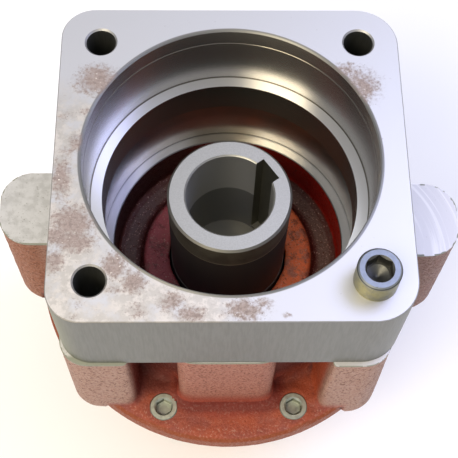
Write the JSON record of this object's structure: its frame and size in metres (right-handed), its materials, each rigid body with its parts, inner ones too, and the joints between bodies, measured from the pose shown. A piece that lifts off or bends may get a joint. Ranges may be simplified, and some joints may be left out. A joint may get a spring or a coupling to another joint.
{
  "type": "hydraulic orbital motor",
  "caption": "Hydraulic orbital motor seen from its output end: square block with a deep pilot bore, hollow keyed shaft, lugged casting with side ears, round gear section and ported end cover.",
  "frame": {"origin": "centre of the pilot bore at the block's top face", "axes": "+Z along the output shaft, out of the motor; +Y towards the side with the ports, away from the picture's camera; +X to the right in the picture"},
  "size_m": [0.21, 0.1872, 0.248],
  "materials": {
    "primed_casting": "rough red-brown primer over the cast skin",
    "machined_block": "milled and turned, with rust staining",
    "ground_steel": "ground",
    "black_oxide": "blackened",
    "zinc_plating": "yellow-green passivated zinc",
    "bearing_steel": "polished",
    "gear_steel": "hardened and ground",
    "seal_rubber": "matt black",
    "seal_washer": "soft washer"
  },
  "bodies": {
    "motor_body": {"mounting_block": "machined_block", "housing": "primed_casting", "dowel_pins": "ground_steel", "flange_screw": "zinc_plating", "block_seal": "seal_rubber", "plug_left": "zinc_plating", "plug_right": "zinc_plating", "drain_plug": "zinc_plating", "drain_washer": "seal_washer", "shaft_seal": "seal_rubber", "seal_spring": "gear_steel", "front_cup": "bearing_steel", "rear_cup": "bearing_steel", "bearing_shim": "ground_steel", "housing_seal": "seal_rubber", "spacer_plate": "ground_steel", "front_stator_seal": "seal_rubber", "stator_ring": "ground_steel", "rear_stator_seal": "seal_rubber", "channel_plate": "ground_steel", "cover_seal": "seal_rubber", "balance_plate": "gear_steel", "disc_spring": "gear_steel", "end_cover": "primed_casting", "cover_bolts": "black_oxide"},
    "shaft_group": {"output_shaft": "ground_steel", "front_cone": "bearing_steel", "rear_cone": "bearing_steel"},
    "front_bearing_rollers": {"front_rollers": "bearing_steel", "front_cage": "bearing_steel"},
    "rear_bearing_rollers": {"rear_rollers": "bearing_steel", "rear_cage": "bearing_steel"},
    "orbit": {"drive_spacer": "gear_steel"},
    "rotor_group": {"rotor": "gear_steel"},
    "cardan_group": {"cardan_shaft": "gear_steel"},
    "valve_drive_group": {"valve_drive": "gear_steel"},
    "valve_group": {"valve_disc": "gear_steel"},
    "roller_1_body": {"roller_1": "gear_steel"},
    "roller_2_body": {"roller_2": "gear_steel"},
    "roller_3_body": {"roller_3": "gear_steel"},
    "roller_4_body": {"roller_4": "gear_steel"},
    "roller_5_body": {"roller_5": "gear_steel"},
    "roller_6_body": {"roller_6": "gear_steel"},
    "roller_7_body": {"roller_7": "gear_steel"}
  },
  "joints": [
    {"name": "shaft_spin", "type": "hinge", "parent": "motor_body", "child": "shaft_group", "pos_m": [0, 0, -0.06], "axis": [0, 0, 1], "continuous": true},
    {"name": "front_cage_turn", "type": "hinge", "parent": "motor_body", "child": "front_bearing_rollers", "pos_m": [0, 0, -0.123], "axis": [0, 0, 1], "continuous": true},
    {"name": "rear_cage_turn", "type": "hinge", "parent": "motor_body", "child": "rear_bearing_rollers", "pos_m": [0, 0, -0.149], "axis": [0, 0, 1], "continuous": true},
    {"name": "orbit_turn", "type": "hinge", "parent": "motor_body", "child": "orbit", "pos_m": [0, 0, -0.183], "axis": [0, 0, 1], "continuous": true},
    {"name": "rotor_turn", "type": "hinge", "parent": "orbit", "child": "rotor_group", "pos_m": [0, -0.0028, -0.181], "axis": [0, 0, 1], "continuous": true},
    {"name": "cardan_turn", "type": "hinge", "parent": "orbit", "child": "cardan_group", "pos_m": [0, 0, -0.1212], "axis": [0, 0.0525, 0.9986], "continuous": true},
    {"name": "valve_drive_turn", "type": "hinge", "parent": "orbit", "child": "valve_drive_group", "pos_m": [0, 0, -0.211], "axis": [0, -0.1322, 0.9912], "continuous": true},
    {"name": "valve_turn", "type": "hinge", "parent": "motor_body", "child": "valve_group", "pos_m": [0, 0, -0.208], "axis": [0, 0, 1], "continuous": true},
    {"name": "roller_1_spin", "type": "hinge", "parent": "motor_body", "child": "roller_1_body", "pos_m": [0, -0.042, -0.181], "axis": [0, 0, 1], "continuous": true},
    {"name": "roller_2_spin", "type": "hinge", "parent": "motor_body", "child": "roller_2_body", "pos_m": [0.03284, -0.02619, -0.181], "axis": [0, 0, 1], "continuous": true},
    {"name": "roller_3_spin", "type": "hinge", "parent": "motor_body", "child": "roller_3_body", "pos_m": [0.04095, 0.00935, -0.181], "axis": [0, 0, 1], "continuous": true},
    {"name": "roller_4_spin", "type": "hinge", "parent": "motor_body", "child": "roller_4_body", "pos_m": [0.01822, 0.03784, -0.181], "axis": [0, 0, 1], "continuous": true},
    {"name": "roller_5_spin", "type": "hinge", "parent": "motor_body", "child": "roller_5_body", "pos_m": [-0.01822, 0.03784, -0.181], "axis": [0, 0, 1], "continuous": true},
    {"name": "roller_6_spin", "type": "hinge", "parent": "motor_body", "child": "roller_6_body", "pos_m": [-0.04095, 0.00935, -0.181], "axis": [0, 0, 1], "continuous": true},
    {"name": "roller_7_spin", "type": "hinge", "parent": "motor_body", "child": "roller_7_body", "pos_m": [-0.03284, -0.02619, -0.181], "axis": [0, 0, 1], "continuous": true}
  ],
  "couplings": [
    {"joint": "front_cage_turn", "follows": "shaft_spin", "ratio": 0.45801},
    {"joint": "rear_cage_turn", "follows": "shaft_spin", "ratio": 0.45801},
    {"joint": "orbit_turn", "follows": "shaft_spin", "ratio": -6},
    {"joint": "rotor_turn", "follows": "shaft_spin", "ratio": 7},
    {"joint": "cardan_turn", "follows": "shaft_spin", "ratio": 7},
    {"joint": "valve_drive_turn", "follows": "shaft_spin", "ratio": 7},
    {"joint": "valve_turn", "follows": "shaft_spin", "ratio": 1}
  ]
}
